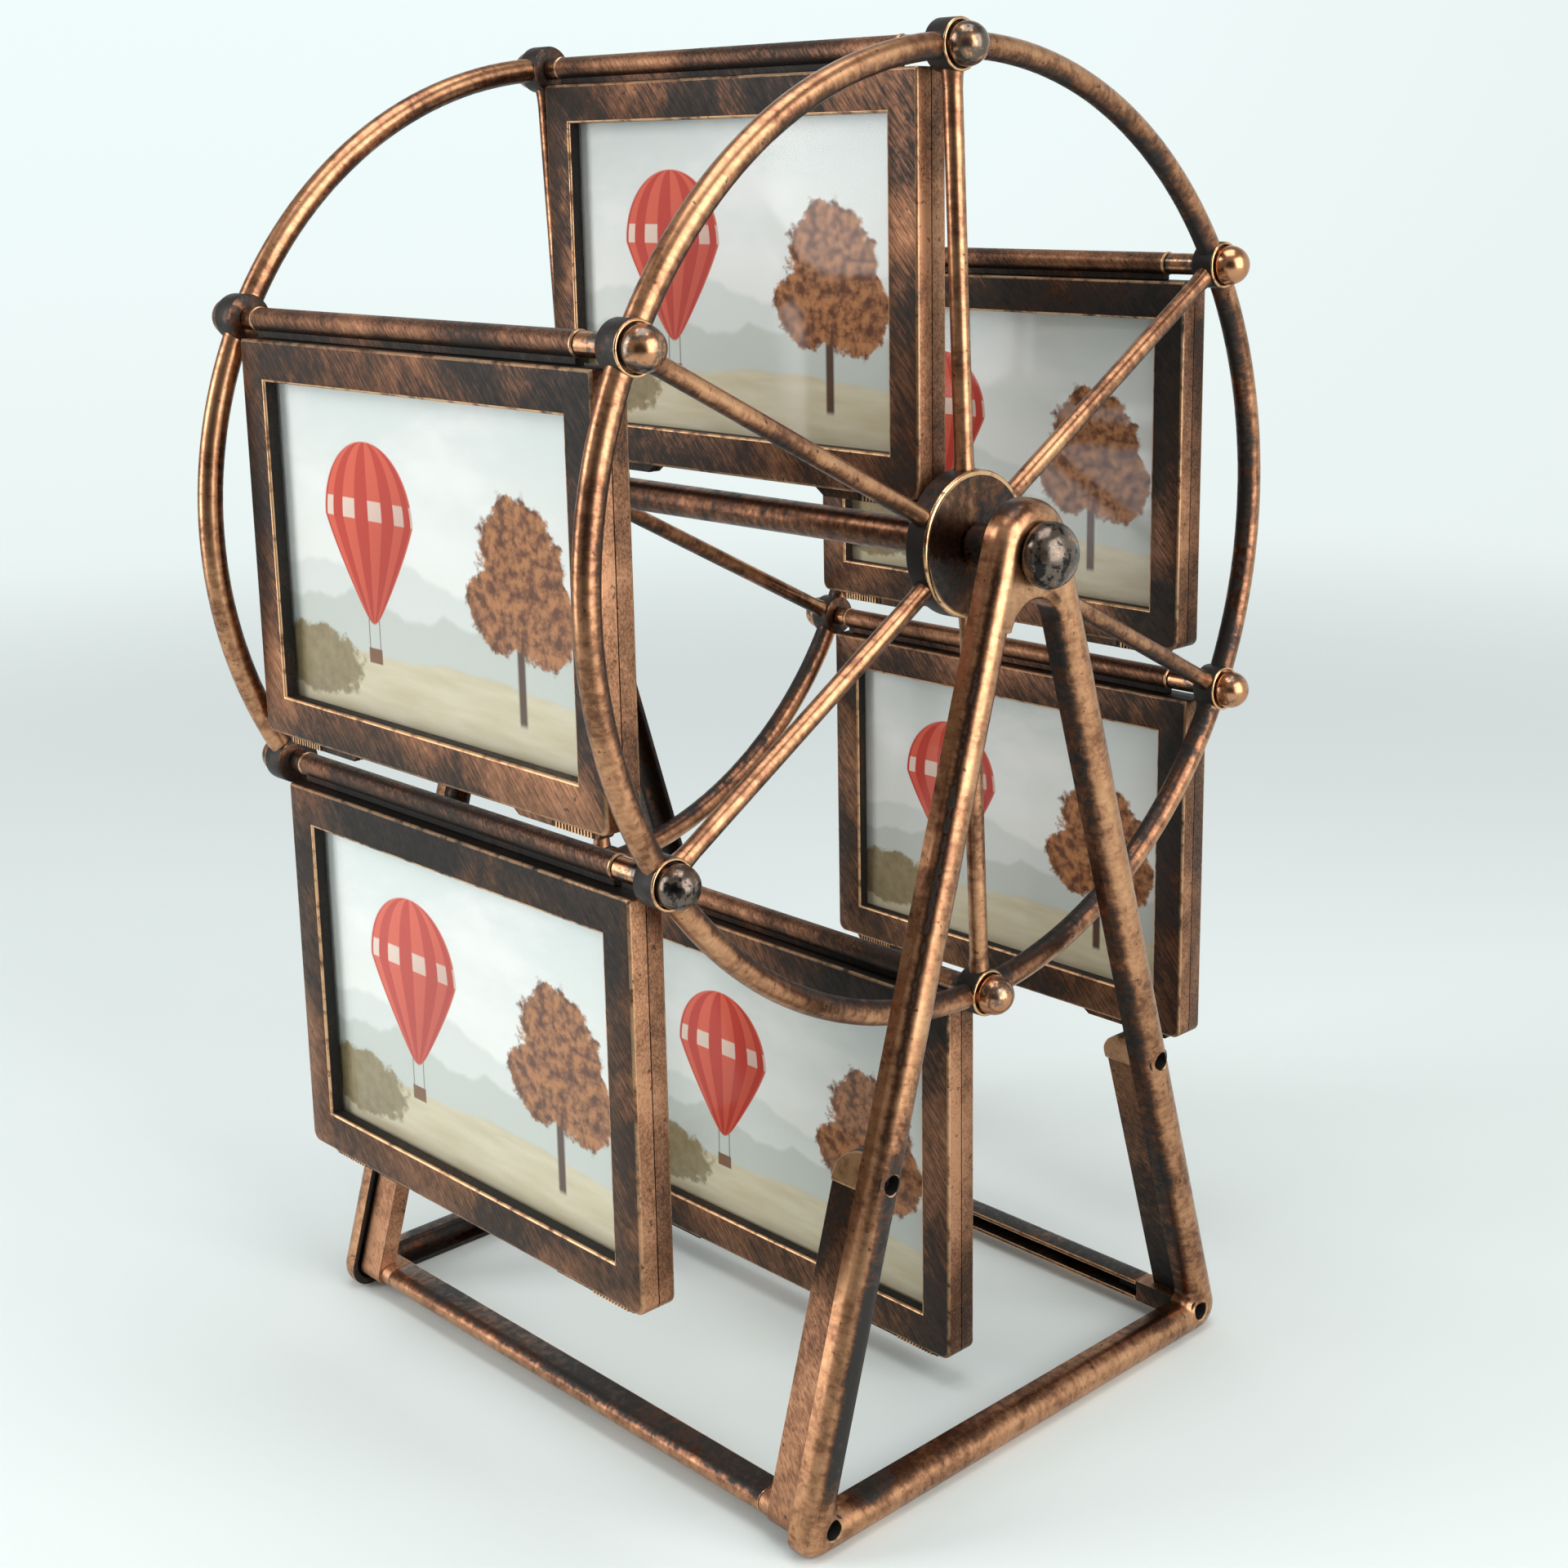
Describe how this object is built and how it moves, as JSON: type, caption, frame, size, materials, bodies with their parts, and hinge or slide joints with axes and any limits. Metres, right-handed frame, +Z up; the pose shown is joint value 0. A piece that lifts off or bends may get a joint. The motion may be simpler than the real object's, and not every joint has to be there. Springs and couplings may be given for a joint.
{
  "type": "rotating collage picture frame",
  "caption": "Table-top wheel of hanging double-sided picture frames between spoked rims; it spins freely on an A-frame stand while every frame hangs level.",
  "frame": {"origin": "on the table, under the middle of the axle", "axes": "+Z up; +X along the axle, towards the near wheel (right in the picture); -Y towards the front (left in the picture)"},
  "size_m": [0.2214, 0.2424, 0.3581],
  "materials": {
    "antique_copper": "moulded plastic with an antique copper coat, dry-brushed dark streaks",
    "dark_bronze": "polished dark bronze coat",
    "blackened_steel": "blackened",
    "clear_sheet": "clear, glossy",
    "print_paper": "satin photo paper on card"
  },
  "bodies": {
    "stand": {"a_frame_near": "antique_copper", "a_frame_far": "antique_copper", "bracket_near_front": "antique_copper", "bracket_near_rear": "antique_copper", "bracket_far_front": "antique_copper", "bracket_far_rear": "antique_copper", "long_bar_front": "antique_copper", "long_bar_rear": "antique_copper", "screw_near_leg_front": "blackened_steel", "screw_near_leg_rear": "blackened_steel", "screw_near_foot_front": "blackened_steel", "screw_near_foot_rear": "blackened_steel", "screw_far_leg_front": "blackened_steel", "screw_far_leg_rear": "blackened_steel", "screw_far_foot_front": "blackened_steel", "screw_far_foot_rear": "blackened_steel", "axle_pin_near": "dark_bronze", "axle_pin_far": "dark_bronze"},
    "wheel": {"wheel_near": "antique_copper", "wheel_far": "antique_copper", "axle_tube": "antique_copper"},
    "frame_1": {"frame_1_front_shell": "antique_copper", "frame_1_rear_shell": "antique_copper", "frame_1_clear_sleeve": "clear_sheet", "frame_1_print_card": "print_paper", "ball_pin_1_near": "dark_bronze", "ball_pin_1_far": "dark_bronze"},
    "frame_2": {"frame_2_front_shell": "antique_copper", "frame_2_rear_shell": "antique_copper", "frame_2_clear_sleeve": "clear_sheet", "frame_2_print_card": "print_paper", "ball_pin_2_near": "dark_bronze", "ball_pin_2_far": "dark_bronze"},
    "frame_3": {"frame_3_front_shell": "antique_copper", "frame_3_rear_shell": "antique_copper", "frame_3_clear_sleeve": "clear_sheet", "frame_3_print_card": "print_paper", "ball_pin_3_near": "dark_bronze", "ball_pin_3_far": "dark_bronze"},
    "frame_4": {"frame_4_front_shell": "antique_copper", "frame_4_rear_shell": "antique_copper", "frame_4_clear_sleeve": "clear_sheet", "frame_4_print_card": "print_paper", "ball_pin_4_near": "dark_bronze", "ball_pin_4_far": "dark_bronze"},
    "frame_5": {"frame_5_front_shell": "antique_copper", "frame_5_rear_shell": "antique_copper", "frame_5_clear_sleeve": "clear_sheet", "frame_5_print_card": "print_paper", "ball_pin_5_near": "dark_bronze", "ball_pin_5_far": "dark_bronze"},
    "frame_6": {"frame_6_front_shell": "antique_copper", "frame_6_rear_shell": "antique_copper", "frame_6_clear_sleeve": "clear_sheet", "frame_6_print_card": "print_paper", "ball_pin_6_near": "dark_bronze", "ball_pin_6_far": "dark_bronze"}
  },
  "joints": [
    {"name": "wheel_spin", "type": "hinge", "parent": "stand", "child": "wheel", "pos_m": [0, 0, 0.234], "axis": [1, 0, 0], "continuous": true},
    {"name": "frame_1_level", "type": "hinge", "parent": "wheel", "child": "frame_1", "pos_m": [0, -0.00515, 0.35189], "axis": [1, 0, 0], "continuous": true},
    {"name": "frame_2_level", "type": "hinge", "parent": "wheel", "child": "frame_2", "pos_m": [0, -0.10467, 0.28849], "axis": [1, 0, 0], "continuous": true},
    {"name": "frame_3_level", "type": "hinge", "parent": "wheel", "child": "frame_3", "pos_m": [0, -0.09952, 0.1706], "axis": [1, 0, 0], "continuous": true},
    {"name": "frame_4_level", "type": "hinge", "parent": "wheel", "child": "frame_4", "pos_m": [0, 0.00515, 0.11611], "axis": [1, 0, 0], "continuous": true},
    {"name": "frame_5_level", "type": "hinge", "parent": "wheel", "child": "frame_5", "pos_m": [0, 0.10467, 0.17951], "axis": [1, 0, 0], "continuous": true},
    {"name": "frame_6_level", "type": "hinge", "parent": "wheel", "child": "frame_6", "pos_m": [0, 0.09952, 0.2974], "axis": [1, 0, 0], "continuous": true}
  ],
  "couplings": [
    {"joint": "frame_1_level", "follows": "wheel_spin", "ratio": -1},
    {"joint": "frame_2_level", "follows": "wheel_spin", "ratio": -1},
    {"joint": "frame_3_level", "follows": "wheel_spin", "ratio": -1},
    {"joint": "frame_4_level", "follows": "wheel_spin", "ratio": -1},
    {"joint": "frame_5_level", "follows": "wheel_spin", "ratio": -1},
    {"joint": "frame_6_level", "follows": "wheel_spin", "ratio": -1}
  ]
}
